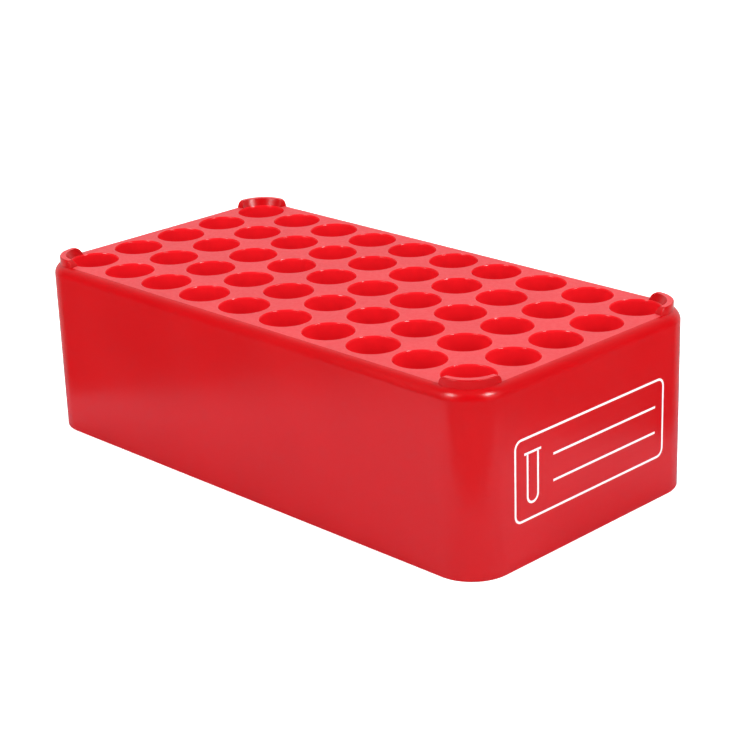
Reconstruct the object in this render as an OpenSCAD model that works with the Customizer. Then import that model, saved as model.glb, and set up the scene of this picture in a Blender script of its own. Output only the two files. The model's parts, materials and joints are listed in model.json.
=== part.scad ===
// Block rack for test tubes: a moulded plastic box whose deck carries a grid of tube wells.
// The real rack is one moulding. Each node is one working section of it: a length of side or end
// wall with its rounded shoulder, a corner, a well with its square of deck, or the stacking collars.
// Neighbouring sections meet face to face.
// The origin is the centre of the footprint on the resting plane, +X along the long side, +Z up.

/* [Well grid] */
// Number of wells along the long side
columns = 10; // [3:1:10]
// Number of wells along the short side
rows = 5; // [3:1:5]
// Distance between the axes of neighbouring wells
pitch = 15; // [15:0.5:20]

/* [Wells] */
// Bore of a well
well_d = 12.4; // [10:0.1:12.6]
// Width of the chamfer round the mouth of a well
mouth_chamfer = 0.15; // [0.05:0.05:0.3]
// Depth of that chamfer
mouth_depth = 0.3; // [0.2:0.05:0.5]
// Thickness of the sleeve round a well
sleeve_t = 1.05; // [0.8:0.05:1.1]
// Thickness of the closed bottom of a well
well_floor_t = 1.5; // [1:0.1:3]
// Gap between the bottom of a well and the resting plane
well_gap = 2; // [1:0.5:10]
// Chamfer round the bottom of a sleeve
sleeve_chamfer = 0.8; // [0.2:0.1:1]

/* [Casing] */
// Height of the deck above the resting plane
deck_h = 46.2; // [30:0.1:60]
// Distance from the last well axis to the end face
end_margin = 10.8; // [10.8:0.1:14]
// Distance from the last well axis to the side face
side_margin = 10.6; // [10.6:0.1:14]
// Thickness of the side and end walls
wall_t = 1.5; // [1.2:0.1:1.8]
// Thickness of the deck
deck_t = 1.8; // [1.5:0.1:2.2]
// Radius of the vertical corners
corner_r = 10.5; // [10.5:0.1:11]
// Radius of the shoulder between the deck and the walls
shoulder_r = 3; // [2.5:0.1:3.2]

/* [Stacking collars] */
// Height of the collars above the deck
collar_h = 1.9; // [1:0.1:2.5]
// Radius of the outer face of a collar
collar_r = 8.15; // [8:0.05:8.2]
// Distance from the well axis to the centre of that face
collar_shift = 0.96; // [0.8:0.02:1]
// Radius of the inner face of a collar at the deck
collar_bore_r = 6.5; // [6.4:0.1:6.7]
// Radius of the inner face of a collar at its top
collar_mouth_r = 7.4; // [6.9:0.1:7.5]
// Half of the angle that a collar covers round its well
collar_span = 54; // [45:1:60]

/* [Hidden] */
$fn = 96;
ROW_LETTERS = "abcde";
function well_name(row, column) = str("well_", ROW_LETTERS[row], column + 1);
WELL_NAMES = [for (row = [0:rows - 1]) for (column = [0:columns - 1]) well_name(row, column)];
CASING_NAMES = ["side_wall_front", "side_wall_back", "end_wall_left", "end_wall_right",
    "corner_front_left", "corner_front_right", "corner_back_left", "corner_back_right"];

casing_red = [0.83, 0.09, 0.11];
deck_red = [0.94, 0.30, 0.31];
collar_red = [0.88, 0.12, 0.13];

eps = 1;
flat_border = 0.3;
border_w = shoulder_r + flat_border;
under_r = shoulder_r - deck_t;
well_r = well_d / 2;
sleeve_r = well_r + sleeve_t;
grid_x = (columns - 1) * pitch / 2;
grid_y = (rows - 1) * pitch / 2;
corner_x = grid_x + end_margin - corner_r;
corner_y = grid_y + side_margin - corner_r;
deck_x = grid_x + end_margin - border_w;
deck_y = grid_y + side_margin - border_w;
deck_corner_r = corner_r - border_w;
collar_mid_r = (collar_bore_r + collar_r + collar_shift) / 2;
collar_flare = (collar_mouth_r - collar_bore_r) / collar_h;
collar_end_turn = collar_span - asin(collar_h / collar_mid_r);
collar_root = 1;
fill_run = 2 * collar_r;

// Row a lies at the back and column 1 at the left.
function well_x(column) = column * pitch - grid_x;
function well_y(row) = grid_y - row * pitch;

// Outer outline of the casing's upright cross-section, drawn outward from the axis of a corner, and
// solid from the outer face to the depth given.
module casing_outline(depth) {
    shoulder_x = corner_r - shoulder_r;
    shoulder_z = deck_h - shoulder_r;
    translate([corner_r - depth, 0]) square([depth, shoulder_z]);
    translate([corner_r - depth, 0]) square([depth - shoulder_r, deck_h]);
    intersection() {
        translate([shoulder_x, shoulder_z]) circle(r = shoulder_r);
        translate([shoulder_x, shoulder_z]) square(shoulder_r);
    }
}

// The whole cross-section: the wall, the shoulder and the narrow border of deck inside it.
module casing_section() {
    hollow_x = corner_r - border_w - eps;
    wall_x = corner_r - wall_t;
    under_z = deck_h - deck_t;
    difference() {
        casing_outline(border_w);
        translate([hollow_x, -eps]) square([wall_x - hollow_x, under_z - under_r + eps]);
        translate([hollow_x, -eps]) square([wall_x - under_r - hollow_x, under_z + eps]);
        translate([wall_x - under_r, under_z - under_r]) circle(r = under_r);
    }
}

// A straight length of casing on the side of the rack that the angle faces.
module casing_wall(angle, reach, run) {
    color(casing_red)
        rotate([0, 0, angle]) translate([reach, 0, 0])
            rotate([90, 0, 0]) linear_extrude(height = run, center = true) casing_section();
}

module side_wall(side) casing_wall(side * 90, corner_y, 2 * corner_x);

module end_wall(side) casing_wall(side > 0 ? 0 : 180, corner_x, 2 * corner_y);

// A rounded corner of the casing; side_x and side_y are 1 or -1.
module casing_corner(side_x, side_y) {
    start = side_x > 0 ? (side_y > 0 ? 0 : 270) : (side_y > 0 ? 90 : 180);
    color(casing_red)
        translate([side_x * corner_x, side_y * corner_y, 0])
            rotate([0, 0, start]) rotate_extrude(angle = 90) casing_section();
}

// Outline of all the deck inside the casing's border.
module deck_outline() {
    square([2 * (deck_x - deck_corner_r), 2 * deck_y], center = true);
    square([2 * deck_x, 2 * (deck_y - deck_corner_r)], center = true);
    for (side_x = [-1, 1], side_y = [-1, 1])
        translate([side_x * (deck_x - deck_corner_r), side_y * (deck_y - deck_corner_r)])
            circle(r = deck_corner_r);
}

// The square of deck that belongs to one well. Wells on the edge of the grid reach the border.
module deck_square(row, column) {
    left = column == 0 ? -deck_x : well_x(column) - pitch / 2;
    right = column == columns - 1 ? deck_x : well_x(column) + pitch / 2;
    near = row == rows - 1 ? -deck_y : well_y(row) - pitch / 2;
    far = row == 0 ? deck_y : well_y(row) + pitch / 2;
    at_corner = (column == 0 || column == columns - 1) && (row == 0 || row == rows - 1);
    if (at_corner)
        intersection() {
            translate([left, near]) square([right - left, far - near]);
            deck_outline();
        }
    else
        translate([left, near]) square([right - left, far - near]);
}

// One tube well: its square of deck and the closed sleeve that hangs below it.
module well(row, column) {
    color(deck_red)
        difference() {
            union() {
                translate([0, 0, deck_h - deck_t])
                    linear_extrude(height = deck_t) deck_square(row, column);
                translate([well_x(column), well_y(row), well_gap]) {
                    cylinder(r1 = sleeve_r - sleeve_chamfer, r2 = sleeve_r, h = sleeve_chamfer);
                    translate([0, 0, sleeve_chamfer])
                        cylinder(r = sleeve_r, h = deck_h - deck_t / 2 - well_gap - sleeve_chamfer);
                }
            }
            translate([well_x(column), well_y(row), 0]) {
                translate([0, 0, well_gap + well_floor_t]) cylinder(r = well_r, h = deck_h);
                translate([0, 0, deck_h - mouth_depth])
                    cylinder(r1 = well_r, r2 = well_r + 2 * mouth_chamfer, h = 2 * mouth_depth);
            }
        }
}

// Crescent of a collar round a well axis at the origin, bulging towards +X. Its inner face opens
// towards the top, and the ends of its top edge are rounded down to the deck.
module collar_crescent() {
    reach = 2 * collar_r;
    half_width = reach * tan(collar_end_turn);
    difference() {
        intersection() {
            translate([collar_shift, 0, deck_h - collar_root])
                cylinder(r = collar_r, h = collar_root + collar_h);
            union() {
                translate([0, 0, deck_h - collar_root]) linear_extrude(height = collar_root + collar_h)
                    polygon([[0, 0], [reach, -half_width], [reach, half_width]]);
                for (side = [-1, 1])
                    translate([0, 0, deck_h]) rotate([0, 0, side * collar_end_turn])
                        rotate([0, 90, 0]) cylinder(r = collar_h, h = reach);
            }
        }
        translate([0, 0, deck_h - 2 * collar_root])
            cylinder(r = collar_bore_r, h = 2 * collar_root);
        translate([0, 0, deck_h])
            cylinder(r1 = collar_bore_r, r2 = collar_mouth_r + collar_flare * eps, h = collar_h + eps);
    }
}

// Shape of the rack at its +X +Y corner with its hollows filled in.
module filled_corner() {
    translate([corner_x, corner_y, 0]) {
        rotate_extrude(angle = 90) casing_outline(corner_r);
        for (turn = [0, 90])
            rotate([0, 0, turn]) rotate([90, 0, 0]) translate([0, 0, -turn / 90 * fill_run])
                linear_extrude(height = fill_run) casing_outline(corner_r);
        translate([-fill_run, -fill_run, 0]) cube([fill_run, fill_run, deck_h]);
    }
}

// The collar outside one corner well, cut to sit on the deck and the shoulder below it.
module collar(side_x, side_y) {
    color(collar_red)
        mirror([side_x < 0 ? 1 : 0, 0, 0]) mirror([0, side_y < 0 ? 1 : 0, 0])
            difference() {
                translate([grid_x, grid_y, 0]) rotate([0, 0, 45]) collar_crescent();
                filled_corner();
            }
}

module stacking_collars() {
    for (side_x = [-1, 1], side_y = [-1, 1]) collar(side_x, side_y);
}

side_wall(-1);  // side_wall_front
side_wall(1);  // side_wall_back
end_wall(-1);  // end_wall_left
end_wall(1);  // end_wall_right
casing_corner(-1, -1);  // corner_front_left
casing_corner(1, -1);  // corner_front_right
casing_corner(-1, 1);  // corner_back_left
casing_corner(1, 1);  // corner_back_right
stacking_collars();
for (row = [0:rows - 1], column = [0:columns - 1])
    well(row, column);
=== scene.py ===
import json
import math

import bpy
import numpy as np
from mathutils import Matrix, Vector


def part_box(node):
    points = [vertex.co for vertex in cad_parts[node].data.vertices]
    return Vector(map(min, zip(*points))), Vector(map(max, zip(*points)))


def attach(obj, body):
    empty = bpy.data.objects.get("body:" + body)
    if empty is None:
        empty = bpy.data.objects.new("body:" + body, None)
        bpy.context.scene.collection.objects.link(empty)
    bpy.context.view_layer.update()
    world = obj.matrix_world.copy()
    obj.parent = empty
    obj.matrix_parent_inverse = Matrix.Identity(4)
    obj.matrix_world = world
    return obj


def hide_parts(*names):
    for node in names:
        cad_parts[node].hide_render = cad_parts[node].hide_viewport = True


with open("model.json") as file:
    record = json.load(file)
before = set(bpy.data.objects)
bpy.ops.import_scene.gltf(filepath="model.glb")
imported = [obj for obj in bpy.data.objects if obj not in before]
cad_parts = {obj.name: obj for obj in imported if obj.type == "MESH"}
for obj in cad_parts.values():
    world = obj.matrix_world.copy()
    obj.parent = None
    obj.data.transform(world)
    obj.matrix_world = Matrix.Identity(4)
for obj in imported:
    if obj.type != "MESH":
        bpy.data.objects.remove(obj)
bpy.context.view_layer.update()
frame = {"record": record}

# Looks of a block rack for test tubes: one red plastic moulding with a grid of round wells.
# Lengths are in metres. The outline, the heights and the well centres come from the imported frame.
MM = 0.001
ROWS = "abcde"
COLUMNS = range(1, 11)
WALLS = ("side_wall_front", "side_wall_back", "end_wall_left", "end_wall_right")
CORNERS = ("corner_front_left", "corner_front_right", "corner_back_left", "corner_back_right")

bores = {m["name"]: m for m in frame["record"]["mounts"] if m["kind"] == "bore"}
corner_low, corner_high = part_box("corner_back_right")
CORNER_X, CORNER_Y = corner_low.x, corner_low.y
CORNER_R = corner_high.x - corner_low.x
DECK_H = corner_high.z
COLLAR_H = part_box("stacking_collars")[1].z - DECK_H
BORDER_W = corner_high.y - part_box("side_wall_back")[0].y
DECK_X, DECK_Y = corner_high.x - BORDER_W, corner_high.y - BORDER_W
WELL_R = bores["bore_a1"]["dims"]["r_mm"] * MM
WELL_X = sorted({m["pos_m"][0] for m in bores.values()})
WELL_Y = sorted({m["pos_m"][1] for m in bores.values()})
HALF_PITCH = (WELL_X[1] - WELL_X[0]) / 2
SLEEVE_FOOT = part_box("well_a1")[0].z

WALL_T = 1.5 * MM
DECK_T = 1.8 * MM
SHOULDER_R = 3 * MM
UNDER_R = 1.2 * MM
FOOT_R = 0.45 * MM
SLEEVE_R = WELL_R + 1.05 * MM
SLEEVE_END_R = 0.9 * MM
WELL_FLOOR_T = 1.5 * MM
WELL_FILLET_R = 2.5 * MM
HOLE_R = WELL_R + 0.05 * MM
LIP_W = 0.3 * MM
LIP_DEPTH = 0.8 * MM
LIP_STEPS = 12
COLLAR_INNER_R = 6.5 * MM
COLLAR_OUTER_R = 8.15 * MM
COLLAR_SHIFT = 0.96 * MM
COLLAR_SPAN = math.radians(54)
COLLAR_MOUTH_R = 7.4 * MM
COLLAR_OUTER_EDGE_R = 0.3 * MM
COLLAR_INNER_EDGE_R = 0.2 * MM
COLLAR_SINK = 0.1 * MM
EDGE_SHARE, LEAST_EDGE_R = 0.6, 0.01 * MM
# Faces whose normal rises above this take the satin finish and the lighter, pinker deck red, which
# is painted light.
LIT_SATIN_RISE = 0.972
INK_T = 0.03 * MM
INK_LINE = 0.55 * MM
FIELD_Y, FIELD_Z = 0, 21.5 * MM
FIELD_W, FIELD_H, FIELD_R = 54 * MM, 20 * MM, 2 * MM
TUBE_INSET, TUBE_W, TUBE_R = 6 * MM, 3.6 * MM, 1.791 * MM
TUBE_SHARE, BRIM_SHARE, RULE_SHARE = 0.62, 0.8, 0.33
TOLERANCE = 1e-7
CELL_STEPS = 128
COLLAR_STEPS = 56
DECK_RINGS = (1, 0.6, 0.25)


# ---------------------------------------------------------------------------------------- meshes
class Skin:
    """Grids of points with a normal at each point, joined into one closed mesh."""

    def __init__(self):
        self.points, self.faces, self.normals, self.count = [], [], [], 0

    def grid(self, points, normals, wrap=False):
        """Faces between neighbouring rows of a grid; wrap joins the last row to the first."""
        rows, across = points.shape[:2]
        number = self.count + np.arange(rows * across).reshape(rows, across)
        self.points.append(points.reshape(-1, 3))
        self.count += rows * across
        lean = np.broadcast_to(normals, points.shape)
        if wrap:
            number = np.concatenate([number, number[:1]])
            lean = np.concatenate([lean, lean[:1]])
        for store, value in ((self.faces, number), (self.normals, lean)):
            corners = (value[:-1, :-1], value[1:, :-1], value[1:, 1:], value[:-1, 1:])
            store.append(np.stack(corners, axis=2).reshape(-1, 4, *value.shape[2:]))

    def lid(self, ring, normal):
        """Closes a ring of points with triangles to its middle."""
        middle = np.broadcast_to(ring.mean(axis=0), ring.shape)
        self.grid(np.stack([ring, middle], axis=1), np.array(normal, float), wrap=True)

    def build(self, name, gloss, lit_satin=None):
        """The mesh object: shared points are welded and each face is turned to its normals.

        Faces that look nearly straight up take the satin material, whose lighter, pinker red is
        painted light and painted sheen."""
        points = np.round(np.concatenate(self.points), 8)
        points, index = np.unique(points, axis=0, return_inverse=True)
        faces = index.reshape(-1)[np.concatenate(self.faces)]
        normals = np.concatenate(self.normals)
        at = points[faces]
        facing = np.cross(at[:, 2] - at[:, 0], at[:, 3] - at[:, 1])
        turned = (facing * normals.sum(axis=1)).sum(axis=1) < 0
        faces[turned] = faces[turned][:, ::-1]
        normals[turned] = normals[turned][:, ::-1]
        # Level faces get the satin finish and the lighter, pinker deck red: painted light on the top
        # faces.
        level = normals[..., 2].mean(axis=1) > LIT_SATIN_RISE
        kept_faces, kept_normals, slots = [], [], []
        for face, lean, is_level in zip(faces.tolist(), normals.tolist(), level.tolist()):
            kept = [k for k in range(4) if face[k] != face[k - 1]]
            if len({face[k] for k in kept}) > 2:
                kept_faces.append([face[k] for k in kept])
                kept_normals.extend(lean[k] for k in kept)
                slots.append(int(is_level and lit_satin is not None))
        mesh = bpy.data.meshes.new(name)
        mesh.from_pydata(points.tolist(), [], kept_faces)
        mesh.materials.append(gloss)
        if lit_satin:
            mesh.materials.append(lit_satin)
        mesh.polygons.foreach_set("material_index", slots)
        mesh.polygons.foreach_set("use_smooth", [True] * len(slots))
        mesh.normals_split_custom_set(kept_normals)
        piece = bpy.data.objects.new(name, mesh)
        bpy.context.collection.objects.link(piece)
        return piece


def rounded(corners, steps=8, closed=True):
    """Outline through corners (across, up, radius), drawn with its solid on the left.

    Gives the points and their outward normals; a corner of radius 0 gives one point twice,
    once with the normal of each side."""
    places = [np.array(c[:2], float) for c in corners]
    count = len(corners)
    points, normals = [], []
    for i, (_, _, radius) in enumerate(corners):
        here = places[i]
        if not closed and i in (0, count - 1):
            other = places[1] - here if i == 0 else here - places[-2]
            along = other / np.linalg.norm(other)
            points.append(here)
            normals.append(np.array([along[1], -along[0]]))
            continue
        arriving = here - places[i - 1]
        leaving = places[(i + 1) % count] - here
        arriving /= np.linalg.norm(arriving)
        leaving /= np.linalg.norm(leaving)
        turn = math.atan2(arriving[0] * leaving[1] - arriving[1] * leaving[0], arriving @ leaving)
        side = 1 if turn > 0 else -1
        first = np.array([arriving[1], -arriving[0]])
        start = here - arriving * radius * math.tan(abs(turn) / 2)
        centre = start - side * radius * first
        for k in range(steps + 1 if radius else 2):
            bend = turn * k / (steps if radius else 1)
            normal = np.array([
                first[0] * math.cos(bend) - first[1] * math.sin(bend),
                first[0] * math.sin(bend) + first[1] * math.cos(bend),
            ])
            points.append(centre + side * radius * normal)
            normals.append(normal)
    if closed:
        points.append(points[0])
        normals.append(normals[0])
    return np.array(points), np.array(normals)


def revolve(skin, points, normals, centre, steps):
    """Turns a section of (radius, height) points about an upright axis."""
    turns = np.arange(steps) * 2 * math.pi / steps
    way = np.stack([np.cos(turns), np.sin(turns)], axis=1)
    grid = np.empty((steps, len(points), 3))
    lean = np.empty_like(grid)
    grid[..., :2] = np.array(centre) + way[:, None] * points[None, :, :1]
    grid[..., 2] = points[:, 1]
    lean[..., :2] = way[:, None] * normals[None, :, :1]
    lean[..., 2] = normals[:, 1]
    skin.grid(grid, lean, wrap=True)


def outline_path(arc_steps=28, long_steps=24, short_steps=12):
    """Stations round the casing: the centre that each is measured from, and its direction."""
    quarters = ((1, 1, short_steps), (-1, 1, long_steps), (-1, -1, short_steps), (1, -1, long_steps))
    centres, ways = [], []
    for turn, (x, y, _) in enumerate(quarters):
        here = np.array([x * CORNER_X, y * CORNER_Y])
        next_x, next_y, _ = quarters[(turn + 1) % 4]
        there = np.array([next_x * CORNER_X, next_y * CORNER_Y])
        for k in range(arc_steps + 1):
            angle = (turn + k / arc_steps) * math.pi / 2
            centres.append(here)
            ways.append((math.cos(angle), math.sin(angle)))
        straight = quarters[(turn + 1) % 4][2]
        for k in range(1, straight):
            centres.append(here + (there - here) * k / straight)
            ways.append(ways[-1])
    return np.array(centres), np.array(ways)


def casing(gloss, lit_satin):
    """Walls, corners and shoulder: one section carried round the rounded rectangle."""
    r = CORNER_R
    points, normals = rounded([
        (r, 0, FOOT_R),
        (r, DECK_H, SHOULDER_R),
        (r - BORDER_W, DECK_H, 0),
        (r - BORDER_W, DECK_H - DECK_T, 0),
        (r - WALL_T, DECK_H - DECK_T, UNDER_R),
        (r - WALL_T, 0, FOOT_R),
    ], steps=20)
    centres, ways = outline_path()
    grid = np.empty((len(ways), len(points), 3))
    lean = np.empty_like(grid)
    grid[..., :2] = centres[:, None] + ways[:, None] * points[None, :, :1]
    grid[..., 2] = points[:, 1]
    lean[..., :2] = ways[:, None] * normals[None, :, :1]
    lean[..., 2] = normals[:, 1]
    skin = Skin()
    skin.grid(grid, lean, wrap=True)
    return skin.build("casing", gloss, lit_satin)


def deck_cell(skin, x, y):
    """One well's square of deck: its lip, the wall of its hole, the underside and any rim."""
    centre = np.array([x, y])
    low, high = np.full(2, -HALF_PITCH), np.full(2, HALF_PITCH)
    rim = {}
    for axis, line, edge in ((0, WELL_X, DECK_X), (1, WELL_Y, DECK_Y)):
        rim[axis, -1], rim[axis, 1] = centre[axis] == line[0], centre[axis] == line[-1]
        if rim[axis, -1]:
            low[axis] = -edge - centre[axis]
        if rim[axis, 1]:
            high[axis] = edge - centre[axis]
    turns = np.arange(CELL_STEPS) * 2 * math.pi / CELL_STEPS
    ways = np.stack([np.cos(turns), np.sin(turns)], axis=1)
    reaches = np.where(ways > 0, high, low) / np.where(np.abs(ways) < TOLERANCE, TOLERANCE, ways)
    reaches = np.where(np.abs(ways) < TOLERANCE, np.inf, reaches)
    ends = ways * reaches.min(axis=1)[:, None]
    sides = [(axis, 1 if way[axis] > 0 else -1) for axis, way in zip(reaches.argmin(axis=1), ways)]
    on_rim = [rim[side] for side in sides]
    round_corner = (rim[0, -1] or rim[0, 1]) and (rim[1, -1] or rim[1, 1])
    for x_side, y_side in ((-1, -1), (-1, 1), (1, -1), (1, 1)):
        if rim[0, x_side] and rim[1, y_side]:
            continue
        corner = np.array([(low, high)[x_side > 0][0], (low, high)[y_side > 0][1]])
        nearest = int(np.argmax(ways @ corner))
        ends[nearest] = corner
        on_rim[nearest] = rim[0, x_side] or rim[1, y_side]
    if round_corner:
        outward = np.sign(centre)
        pivot = outward * (CORNER_X, CORNER_Y) - centre
        for k, way in enumerate(ways):
            if np.all((ends[k] - pivot) * outward > 0):
                along = way @ pivot
                past = along ** 2 - pivot @ pivot + (CORNER_R - BORDER_W) ** 2
                ends[k] = way * (along + math.sqrt(past))
    leans = np.linspace(0, math.pi / 2, LIP_STEPS + 1)
    tilts = np.stack([-np.sin(leans), np.cos(leans)], axis=1)
    size = np.hypot(LIP_W * np.sin(leans), LIP_DEPTH * np.cos(leans))
    lip_r = HOLE_R + LIP_W * (1 - LIP_W * np.sin(leans) / size)
    lip_z = DECK_H - LIP_DEPTH * (1 - LIP_DEPTH * np.cos(leans) / size)
    under_z = DECK_H - DECK_T
    up = np.array([0, 0, 1.0])
    top, lean, under = [], [], []
    for way, end in zip(ways, ends):
        edge = way * lip_r[0]
        line = [(*(centre + edge + (end - edge) * share), DECK_H) for share in DECK_RINGS]
        line += [(*(centre + way * r), z) for r, z in zip(lip_r, lip_z)]
        top.append(line + [(*(centre + way * HOLE_R), under_z)])
        lean.append([up] * 3 + [(*(way * out), rise) for out, rise in tilts] + [(*-way, 0)])
        under.append([(*(centre + way * HOLE_R), under_z), (*(centre + end), under_z)])
    skin.grid(np.array(top), np.array(lean), wrap=True)
    skin.grid(np.array(under), -up, wrap=True)
    for k in range(CELL_STEPS):
        if on_rim[k - 1] and on_rim[k]:
            side = [[(*(centre + ends[j]), z) for z in (under_z, DECK_H)] for j in (k - 1, k)]
            run = ends[k] - ends[k - 1]
            skin.grid(np.array(side), np.array([run[1], -run[0], 0]) / np.linalg.norm(run))


def deck_plate(gloss, lit_satin):
    skin = Skin()
    for x in WELL_X:
        for y in WELL_Y:
            deck_cell(skin, x, y)
    return skin.build("deck_plate", gloss, lit_satin)


def wells_row(letter, material):
    """The closed sleeves that hang below the deck in one row."""
    top = DECK_H - DECK_T
    floor = SLEEVE_FOOT + WELL_FLOOR_T
    points, normals = rounded([
        (0, SLEEVE_FOOT, 0),
        (SLEEVE_R, SLEEVE_FOOT, SLEEVE_END_R),
        (SLEEVE_R, top, 0),
        (HOLE_R, top, 0),
        (WELL_R, floor, WELL_FILLET_R),
        (0, floor, 0),
    ], steps=7, closed=False)
    skin = Skin()
    for column in COLUMNS:
        centre = bores[f"bore_{letter}{column}"]["pos_m"][:2]
        revolve(skin, points, normals, centre, CELL_STEPS)
    return skin.build(f"wells_row_{letter}", material)


def casing_top(x, y):
    """Height of the deck or the shoulder at a point."""
    over_x, over_y = max(abs(x) - CORNER_X, 0), max(abs(y) - CORNER_Y, 0)
    past = math.hypot(over_x, over_y) - (CORNER_R - SHOULDER_R)
    if past <= 0:
        return DECK_H
    return DECK_H - SHOULDER_R + math.sqrt(max(SHOULDER_R ** 2 - past ** 2, 0))


def collar(skin, side_x, side_y):
    """A crescent that stands outside a corner well, its ends rounded down to the deck."""
    well = np.array([side_x * WELL_X[-1], side_y * WELL_Y[-1]])
    middle = math.atan2(side_y, side_x)
    half_run = COLLAR_SPAN * (COLLAR_INNER_R + COLLAR_OUTER_R + COLLAR_SHIFT) / 2
    points, normals = [], []
    for k in range(COLLAR_STEPS + 1):
        swing = math.sin((k / COLLAR_STEPS - 0.5) * math.pi)
        turn = COLLAR_SPAN * swing
        left = max(COLLAR_H - half_run * (1 - abs(swing)), 0)
        height = math.sqrt(max(COLLAR_H ** 2 - left ** 2, 0))
        slope = math.copysign(left / COLLAR_H, swing) if left else 0
        outer = (COLLAR_SHIFT * math.cos(turn)
                 + math.sqrt(COLLAR_OUTER_R ** 2 - (COLLAR_SHIFT * math.sin(turn)) ** 2))
        angle = middle + turn
        way = np.array([math.cos(angle), math.sin(angle)])
        across = np.array([-way[1], way[0]])
        top = DECK_H + height
        inner = COLLAR_INNER_R + (COLLAR_MOUTH_R - COLLAR_INNER_R) * height / COLLAR_H
        sharpest = height * EDGE_SHARE + LEAST_EDGE_R
        foot_in = casing_top(*(well + way * COLLAR_INNER_R)) - COLLAR_SINK
        foot_out = casing_top(*(well + way * outer)) - COLLAR_SINK
        section, lean = rounded([
            (COLLAR_INNER_R, foot_in, 0),
            (outer, foot_out, 0),
            (outer, top, min(COLLAR_OUTER_EDGE_R, sharpest)),
            (inner, top, min(COLLAR_INNER_EDGE_R, sharpest)),
        ], steps=6)
        line, tilts = [], []
        for (radius, z), (out, up) in zip(section, lean):
            line.append((*(well + way * radius), z))
            tilt = np.array([*(way * out + across * slope * max(up, 0)), up])
            tilts.append(tilt / np.linalg.norm(tilt))
        points.append(line)
        normals.append(tilts)
    points = np.array(points)
    skin.grid(points, np.array(normals))
    for end, sign in ((0, -1), (-1, 1)):
        angle = middle + sign * COLLAR_SPAN
        skin.lid(points[end][:-1], (-math.sin(angle) * sign, math.cos(angle) * sign, 0))


def stacking_collars(gloss, lit_satin):
    skin = Skin()
    for side_x in (-1, 1):
        for side_y in (-1, 1):
            collar(skin, side_x, side_y)
    return skin.build("stacking_collars_moulded", gloss, lit_satin)


def ink_line(skin, corners, closed=True):
    """A printed line along a path on the right-hand end wall; corners are (y, z, radius)."""
    points, normals = rounded(corners, steps=8, closed=closed)
    face = CORNER_X + CORNER_R
    inner, outer = points - normals * INK_LINE / 2, points + normals * INK_LINE / 2
    low, high = face - INK_T, face + INK_T
    rows = []
    for near, far in zip(inner, outer):
        places = ((low, near), (high, near), (high, near), (high, far), (high, far), (low, far))
        rows.append([(x, *place) for x, place in places])
    across = np.concatenate([np.zeros((len(points), 1)), normals], axis=1)
    out = np.broadcast_to((1.0, 0, 0), across.shape)
    lean = np.stack([-across, -across, out, out, across, across], axis=1)
    rows = np.array(rows)
    skin.grid(rows, lean)
    if not closed:
        for end, sign in ((0, -1), (-1, 1)):
            along = np.array([0, -normals[end][1], normals[end][0]]) * sign
            skin.lid(rows[end][[0, 1, 3, 5]], along)


def printed_marking(material):
    """A blank write-on field with two ruled lines, and the outline of a tube beside them."""
    skin = Skin()
    y, z = FIELD_Y, FIELD_Z
    half_w, half_h = FIELD_W / 2, FIELD_H / 2
    ink_line(skin, [(y - half_w, z - half_h, FIELD_R), (y + half_w, z - half_h, FIELD_R),
                    (y + half_w, z + half_h, FIELD_R), (y - half_w, z + half_h, FIELD_R)])
    tube_y = y - half_w + TUBE_INSET
    tube_low, tube_high = z - half_h * TUBE_SHARE, z + half_h * TUBE_SHARE
    left, right = tube_y - TUBE_W / 2, tube_y + TUBE_W / 2
    ink_line(skin, [(left, tube_high, 0), (left, tube_low, TUBE_R),
                    (right, tube_low, TUBE_R), (right, tube_high, 0)], closed=False)
    brim = TUBE_W * BRIM_SHARE
    ink_line(skin, [(tube_y - brim, tube_high, 0), (tube_y + brim, tube_high, 0)], closed=False)
    for share in (-RULE_SHARE, RULE_SHARE):
        ink_line(skin, [(tube_y + 2 * TUBE_W, z + half_h * share, 0),
                        (y + half_w - TUBE_INSET / 2, z + half_h * share, 0)], closed=False)
    return skin.build("printed_marking", material)


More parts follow.
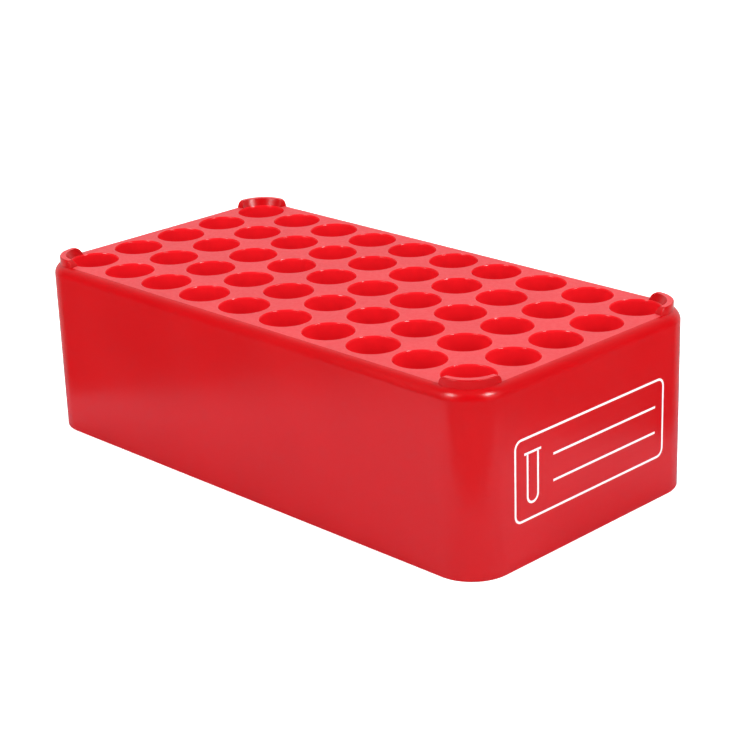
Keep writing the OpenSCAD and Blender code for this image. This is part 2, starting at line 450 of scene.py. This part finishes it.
# ------------------------------------------------------------------------------------- materials
class Nodes:
    """Short calls for building one material's node tree."""

    def __init__(self, name):
        self.material = bpy.data.materials.new(name)
        self.material.use_nodes = True
        self.tree = self.material.node_tree
        self.shader = self.tree.nodes["Principled BSDF"]
        place = self.tree.nodes.new("ShaderNodeTexCoord")
        self.place = place.outputs["Object"]

    def join(self, source, target):
        self.tree.links.new(source, target)

    def noise(self, scale, detail=3.0, stretch=None):
        """Noise over the piece; scale is in cells per metre, stretch multiplies it per axis."""
        node = self.tree.nodes.new("ShaderNodeTexNoise")
        node.inputs["Scale"].default_value = scale
        node.inputs["Detail"].default_value = detail
        if stretch:
            mapping = self.tree.nodes.new("ShaderNodeMapping")
            mapping.inputs["Scale"].default_value = stretch
            self.join(self.place, mapping.inputs["Vector"])
            self.join(mapping.outputs["Vector"], node.inputs["Vector"])
        else:
            self.join(self.place, node.inputs["Vector"])
        return node.outputs["Fac"]

    def ramp(self, source, low, high, to_low=0.0, to_high=1.0):
        """source between low and high, carried smoothly to the two values."""
        node = self.tree.nodes.new("ShaderNodeMapRange")
        node.interpolation_type = "SMOOTHSTEP"
        node.inputs["From Min"].default_value = low
        node.inputs["From Max"].default_value = high
        node.inputs["To Min"].default_value = to_low
        node.inputs["To Max"].default_value = to_high
        self.join(source, node.inputs["Value"])
        return node.outputs["Result"]

    def add(self, a, b):
        node = self.tree.nodes.new("ShaderNodeMath")
        node.operation = "ADD"
        self.join(a, node.inputs[0])
        self.join(b, node.inputs[1])
        return node.outputs["Value"]

    def mix(self, factor, a, b):
        """Mixes two colours."""
        node = self.tree.nodes.new("ShaderNodeMix")
        node.data_type = "RGBA"
        self.join(factor, node.inputs["Factor"])
        for value, socket in ((a, node.inputs[6]), (b, node.inputs[7])):
            socket.default_value = (*value, 1)
        return node.outputs[2]

    def bump(self, source, depth, under=None):
        node = self.tree.nodes.new("ShaderNodeBump")
        node.inputs["Distance"].default_value = depth
        self.join(source, node.inputs["Height"])
        if under is not None:
            self.join(under, node.inputs["Normal"])
        return node.outputs["Normal"]


# One plastic takes three base reds. The wells' red is lighter (painted light), the deck's red is
# lighter and pinker (painted light and painted sheen), and the walls' red is darker (painted shade).
SHADED_WALL_RED = (0.49, 0.0010, 0.0033)
LIT_WELL_RED = (0.76, 0.0100, 0.0160)
LIT_SHEEN_DECK_RED = (0.64, 0.037, 0.045)
INK_WHITE = (0.86, 0.86, 0.87)
WALL_ROUGHNESS, WALL_DRAW_DEPTH = 0.22, 0.001 * MM
WELL_ROUGHNESS, WELL_DRAW_DEPTH = 0.1, 0.008 * MM
WALL_IOR, DECK_IOR, INK_IOR = 1.49, 1.5, 1.5


def tinted(colour, share):
    return tuple(channel * share for channel in colour)


def gloss_plastic(name, red, smoothest, draw_depth):
    """Polished red polypropylene: faint clouds and ripples, and upright marks from the mould."""
    n = Nodes(name)
    cloudy = n.ramp(n.noise(45, 2.0), 0.35, 0.65)
    n.join(n.mix(cloudy, tinted(red, 1.02), tinted(red, 0.98)), n.shader.inputs["Base Color"])
    handled = n.ramp(n.noise(60, 4.0), 0.3, 0.7, smoothest, smoothest + 0.04)
    fine = n.ramp(n.noise(500, 3.0), 0.3, 0.7, 0, 0.01)
    n.join(n.add(handled, fine), n.shader.inputs["Roughness"])
    ripple = n.bump(n.noise(70, 2.0), 0.03 * MM)
    drawn = n.bump(n.noise(1500, 2.0, stretch=(1, 1, 0.05)), draw_depth, under=ripple)
    n.join(n.bump(n.noise(9000, 2.0), 0.003 * MM, under=drawn), n.shader.inputs["Normal"])
    n.shader.inputs["IOR"].default_value = WALL_IOR
    return n.material


def satin_plastic(name, red):
    """The deck's even spark-eroded grain."""
    n = Nodes(name)
    cloudy = n.ramp(n.noise(45, 2.0), 0.35, 0.65)
    n.join(n.mix(cloudy, tinted(red, 1.03), tinted(red, 0.97)), n.shader.inputs["Base Color"])
    n.join(n.ramp(n.noise(1200, 3.0), 0.3, 0.7, 0.42, 0.52), n.shader.inputs["Roughness"])
    coarse = n.bump(n.noise(2600, 2.0), 0.006 * MM)
    n.join(n.bump(n.noise(7000, 2.0), 0.004 * MM, under=coarse), n.shader.inputs["Normal"])
    n.shader.inputs["IOR"].default_value = DECK_IOR
    return n.material


def screen_ink(name):
    """White printing ink, a little thin in places."""
    n = Nodes(name)
    thin = n.ramp(n.noise(700, 4.0), 0.35, 0.7)
    n.join(n.mix(thin, INK_WHITE, tinted(INK_WHITE, 0.93)), n.shader.inputs["Base Color"])
    n.join(n.ramp(n.noise(1500, 2.0), 0.3, 0.7, 0.35, 0.45), n.shader.inputs["Roughness"])
    n.join(n.bump(n.noise(3000, 2.0), 0.004 * MM), n.shader.inputs["Normal"])
    n.shader.inputs["IOR"].default_value = INK_IOR
    return n.material


# ---------------------------------------------------------------------------------------- studio
LENS, SENSOR = 95.92, 36
VIEW_FROM = (0.349007, -0.336477, 0.202194)
FLOOR_REACH = (12, 12)
FLOOR_WHITE, FLOOR_GLOW = (0.9, 0.9, 0.9), 0.6
BOUNCE_WHITE = (0.85, 0.85, 0.85)
CARD_GREY = (0.34, 0.34, 0.40)
CARD_CENTRE, CARD_REACH, CARD_TURN = (-9 * MM, 16 * MM), (110 * MM, 142 * MM), 45
PLANE_GAP = 0.05 * MM
BACKDROP_WAY = (-0.7, 0.7, 0.15)
BACKDROP = {"From Min": 0.2, "From Max": 0.8, "To Min": 0.02, "To Max": 0.6}
# Azimuth, elevation, distance, width, height, radiance, and whether the rack mirrors it.
LAMPS = {
    "softbox_left": (-9.5, 41, 1.2, 0.3, 0.34, 13, True),
    "softbox_right": (96.5, 41, 1.2, 0.3, 0.34, 19, True),
    "softbox_top": (45, 75, 1.8, 1.4, 1.4, 1.2, False),
    "softbox_back": (225, 32, 1.8, 1.4, 1.4, 3.0, False),
    "fill_left": (-12, 25, 0.9, 0.5, 0.5, 6, False),
    "fill_right": (102, 25, 0.9, 0.5, 0.5, 5, False),
}


def camera():
    """The view of the reference: from the front right, looking down by about twenty degrees."""
    data = bpy.data.cameras.new("camera")
    data.sensor_width = SENSOR
    data.lens = LENS
    data.clip_start = 0.01
    data.clip_end = 100
    view = bpy.data.objects.new("camera", data)
    right = Vector((0.7095353, 0.7039837, -0.0310916))
    down = Vector((0.2262571, -0.2693834, -0.9360771))
    forward = Vector((-0.6673585, 0.6571450, -0.3504183))
    turn = Matrix((right, -down, -forward)).transposed().to_4x4()
    view.matrix_world = Matrix.Translation(VIEW_FROM) @ turn
    bpy.context.collection.objects.link(view)
    bpy.context.scene.camera = view


def plane(name, centre, reach, turn, height, colour, glow=0.0):
    """A level rectangle of matt card; reach is half of its width and length."""
    mesh = bpy.data.meshes.new(name)
    across, along = reach
    corners = [(-across, -along, 0), (across, -along, 0), (across, along, 0), (-across, along, 0)]
    mesh.from_pydata(corners, [], [(0, 1, 2, 3)])
    n = Nodes(name)
    n.join(n.mix(n.noise(3), colour, tinted(colour, 0.98)), n.shader.inputs["Base Color"])
    n.shader.inputs["Roughness"].default_value = 0.8
    n.shader.inputs["Specular IOR Level"].default_value = 0.2
    n.shader.inputs["Emission Color"].default_value = (1, 1, 1, 1)
    n.shader.inputs["Emission Strength"].default_value = glow
    mesh.materials.append(n.material)
    card = bpy.data.objects.new(name, mesh)
    card.location = (*centre, height)
    card.rotation_euler.z = math.radians(turn)
    bpy.context.collection.objects.link(card)
    return card


def floor():
    """A pale floor for the eye, the light it throws back, and the card that the walls mirror."""
    ground = plane("floor", (0, 0), FLOOR_REACH, 0, 0, FLOOR_WHITE, FLOOR_GLOW)
    ground.visible_diffuse = ground.visible_glossy = ground.visible_shadow = False
    bounce = plane("floor_bounce", (0, 0), FLOOR_REACH, 0, -PLANE_GAP, BOUNCE_WHITE)
    bounce.visible_camera = bounce.visible_glossy = bounce.visible_shadow = False
    card = plane("floor_card", CARD_CENTRE, CARD_REACH, CARD_TURN, PLANE_GAP, CARD_GREY)
    card.visible_camera = card.visible_diffuse = card.visible_shadow = False


def softbox(name, azimuth, elevation, distance, width, height, radiance, mirrored):
    """An area light that faces the rack; its power follows from its radiance."""
    data = bpy.data.lights.new(name, "AREA")
    data.shape = "RECTANGLE"
    data.size, data.size_y = width, height
    data.energy = radiance * width * height * math.pi
    a, e = math.radians(azimuth), math.radians(elevation)
    back = Vector((math.sin(a) * math.cos(e), -math.cos(a) * math.cos(e), math.sin(e)))
    lamp = bpy.data.objects.new(name, data)
    lamp.location = back * distance
    lamp.rotation_mode = "QUATERNION"
    lamp.rotation_quaternion = back.to_track_quat("Z", "Y")
    lamp.visible_glossy = mirrored
    bpy.context.collection.objects.link(lamp)


def studio():
    """A pale backdrop behind the rack, a dark room in front of it, and soft lights."""
    scene = bpy.context.scene
    scene.view_settings.view_transform = "Standard"
    world = bpy.data.worlds.new("studio")
    world.use_nodes = True
    nodes, links = world.node_tree.nodes, world.node_tree.links
    way = nodes.new("ShaderNodeVectorMath")
    way.operation = "DOT_PRODUCT"
    way.inputs[1].default_value = BACKDROP_WAY
    links.new(nodes.new("ShaderNodeTexCoord").outputs["Generated"], way.inputs[0])
    dusk = nodes.new("ShaderNodeMapRange")
    for name, value in BACKDROP.items():
        dusk.inputs[name].default_value = value
    links.new(way.outputs["Value"], dusk.inputs["Value"])
    sky = nodes["Background"]
    sky.inputs["Color"].default_value = (1, 1, 1, 1)
    links.new(dusk.outputs["Result"], sky.inputs["Strength"])
    scene.world = world
    for name, values in LAMPS.items():
        softbox(name, *values)


camera()
# Lit and shaded copies of one red plastic: painted light in the wells and on the deck, painted shade
# on the walls.
shaded_wall_red = gloss_plastic("shaded_wall_plastic", SHADED_WALL_RED, WALL_ROUGHNESS, WALL_DRAW_DEPTH)
lit_well_red = gloss_plastic("lit_well_plastic", LIT_WELL_RED, WELL_ROUGHNESS, WELL_DRAW_DEPTH)
lit_deck_red = satin_plastic("deck_plastic", LIT_SHEEN_DECK_RED)

shell = casing(shaded_wall_red, lit_deck_red)
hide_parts(*WALLS, *CORNERS)

deck = deck_plate(lit_well_red, lit_deck_red)

rows = []
for letter in ROWS:
    row = wells_row(letter, lit_well_red)
    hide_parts(*(f"well_{letter}{column}" for column in COLUMNS))
    rows.append(row)

collars = stacking_collars(shaded_wall_red, lit_deck_red)
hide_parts("stacking_collars")

marking = printed_marking(screen_ink("marking_ink"))

for piece in (shell, deck, *rows, collars, marking):
    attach(piece, "root")

floor()
studio()
